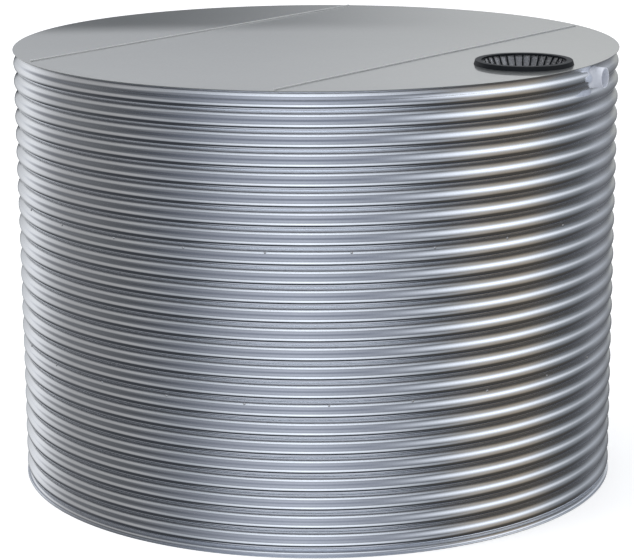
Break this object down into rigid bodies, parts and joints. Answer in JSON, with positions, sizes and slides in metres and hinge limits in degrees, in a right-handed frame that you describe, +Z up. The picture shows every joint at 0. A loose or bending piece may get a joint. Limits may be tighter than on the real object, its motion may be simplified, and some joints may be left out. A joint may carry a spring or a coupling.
{
  "type": "round steel water tank",
  "caption": "Round flat-topped rainwater tank of lapped corrugated steel strakes, with a roof strainer inlet, an overflow spigot and a low ball-valve outlet.",
  "frame": {"origin": "centre of the underside of the floor, on the tank's axis", "axes": "+Z up along the tank's axis, +X towards the inlet strainer, -X towards the outlet valve; the roof seams run along Y"},
  "size_m": [2.7115, 2.584, 1.881],
  "materials": {
    "wall_steel": "bright rolled sheet",
    "roof_steel": "satin sheet",
    "stiffener_steel": "satin sheet",
    "rivet_metal": "bright",
    "sealant": "satin grey sealant",
    "black_moulding": "satin",
    "mesh_steel": "woven wire",
    "pale_pipe": "satin",
    "gasket_rubber": "matte",
    "brass": "turned",
    "valve_plating": "nickel plated",
    "seat_plastic": "smooth",
    "ball_chrome": "polished",
    "lever_steel": "zinc plated",
    "grip_vinyl": "dipped vinyl"
  },
  "bodies": {
    "tank": {"floor_pan": "wall_steel", "floor_sealant": "sealant", "lower_strake": "wall_steel", "middle_strake": "wall_steel", "upper_strake": "wall_steel", "lower_lap_rivets": "rivet_metal", "upper_lap_rivets": "rivet_metal", "end_lap_rivets": "rivet_metal", "roof_panel_left": "roof_steel", "roof_panel_middle": "roof_steel", "roof_panel_right": "roof_steel", "roof_stiffener_left": "stiffener_steel", "roof_stiffener_right": "stiffener_steel", "strainer_basket": "black_moulding", "strainer_mesh": "mesh_steel", "overflow_spigot": "pale_pipe", "overflow_gasket": "gasket_rubber", "overflow_backnut": "pale_pipe", "outlet_washer_outer": "gasket_rubber", "outlet_washer_inner": "gasket_rubber", "outlet_socket": "brass", "outlet_backnut": "brass", "valve_body": "valve_plating", "valve_end_cap": "valve_plating", "valve_seats": "seat_plastic", "gland_nut": "brass"},
    "valve_handle": {"valve_lever": "lever_steel", "lever_grip": "grip_vinyl", "lever_nut": "lever_steel", "valve_stem": "brass", "valve_ball": "ball_chrome"}
  },
  "joints": [
    {"name": "lever_turn", "type": "hinge", "parent": "tank", "child": "valve_handle", "pos_m": [-1.35367, 0, 0.1288], "axis": [0, 0, 1], "range_deg": [0, 90]}
  ]
}
